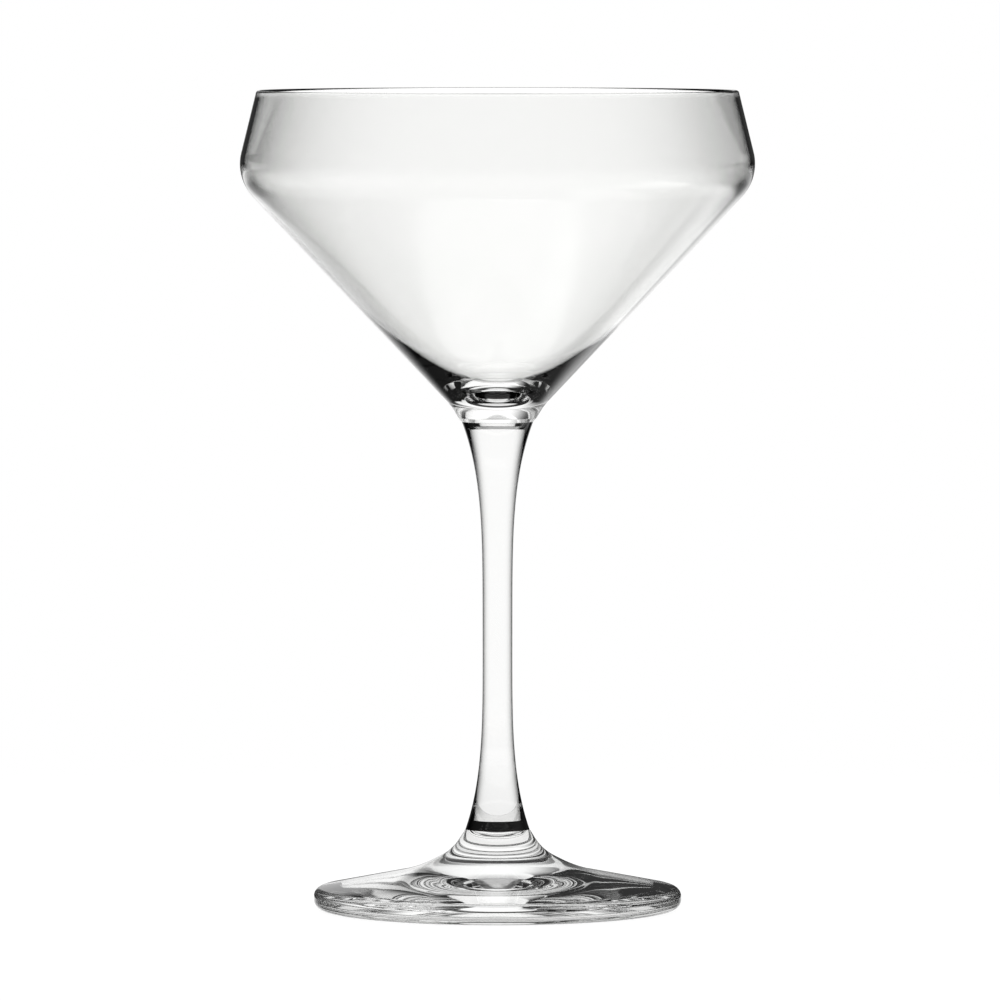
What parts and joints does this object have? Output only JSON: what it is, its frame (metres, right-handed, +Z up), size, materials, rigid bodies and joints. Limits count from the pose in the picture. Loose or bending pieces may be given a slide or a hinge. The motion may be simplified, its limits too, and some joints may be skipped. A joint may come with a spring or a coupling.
{
  "type": "coupe glass",
  "caption": "Stemmed coupe glass of clear crystal: a wide conical bowl with a round shoulder and a lip that leans in, fused to a slender flared stem and a broad round foot.",
  "frame": {"origin": "on the axis of the glass, in the plane of the ring that the foot stands on", "axes": "+Z up along the axis, from foot to rim; X and Y are alike because every piece is round"},
  "size_m": [0.1104, 0.1104, 0.1761],
  "materials": {
    "clear_glass": "clear, fire-polished"
  },
  "bodies": {
    "root": {"bowl": "clear_glass", "stem": "clear_glass", "foot": "clear_glass"}
  },
  "joints": []
}
